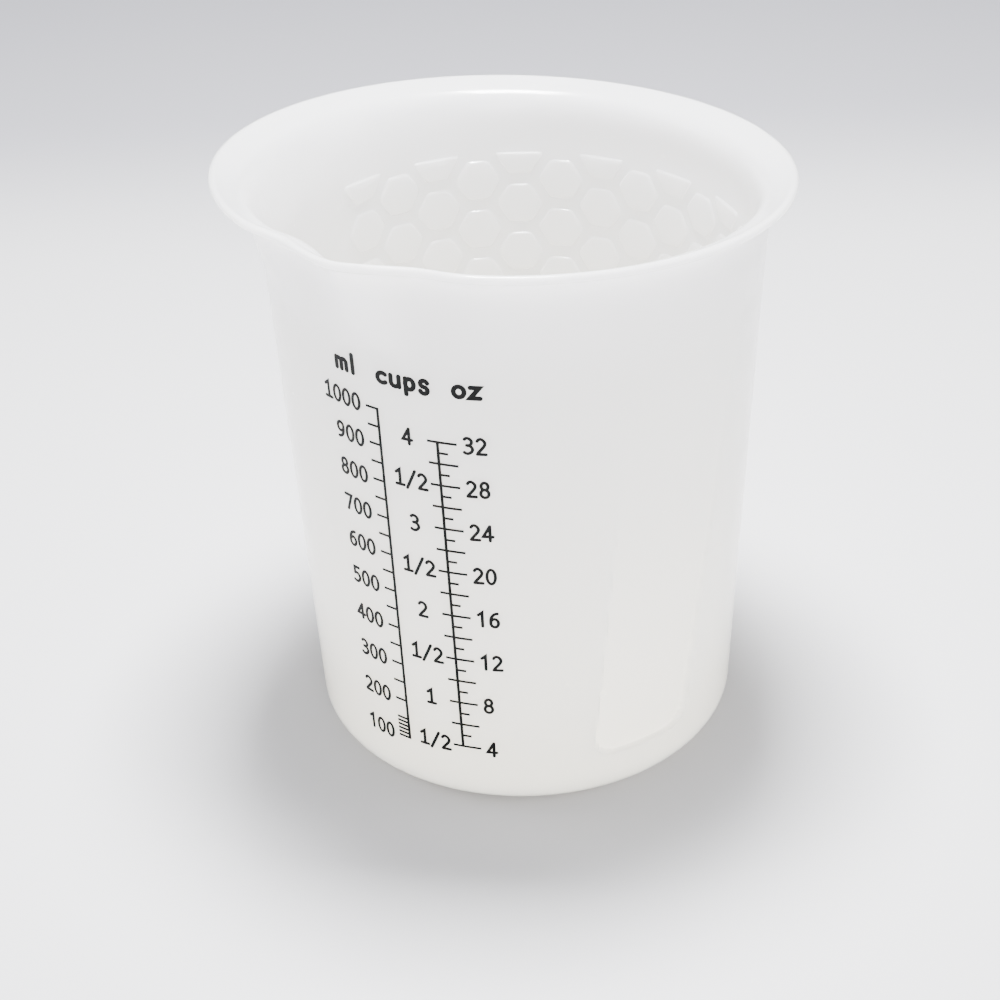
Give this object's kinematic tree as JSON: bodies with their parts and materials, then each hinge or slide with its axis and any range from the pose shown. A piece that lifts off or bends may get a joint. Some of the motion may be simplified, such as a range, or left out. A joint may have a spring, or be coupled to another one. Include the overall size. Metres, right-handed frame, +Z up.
{
  "type": "resin mixing cup",
  "caption": "Soft translucent mixing cup with a flared lip, pouring spout, sunk grip panels, inner honeycomb pads and a printed measuring scale.",
  "frame": {"origin": "centre of the flat underside, where the wall's axis meets the table", "axes": "+Z up along the wall's axis, -Y towards the pouring spout, +X to the right of someone facing the spout"},
  "size_m": [0.1393, 0.1411, 0.1575],
  "materials": {
    "silicone": "translucent white moulded silicone, satin",
    "ink": "matte black screen print"
  },
  "bodies": {
    "root": {"cup_body": "silicone", "ml_heading": "ink", "cups_heading": "ink", "oz_heading": "ink", "ml_scale_lines": "ink", "ml_numbers": "ink", "cups_numbers": "ink", "oz_scale_lines": "ink", "oz_numbers": "ink"}
  },
  "joints": []
}
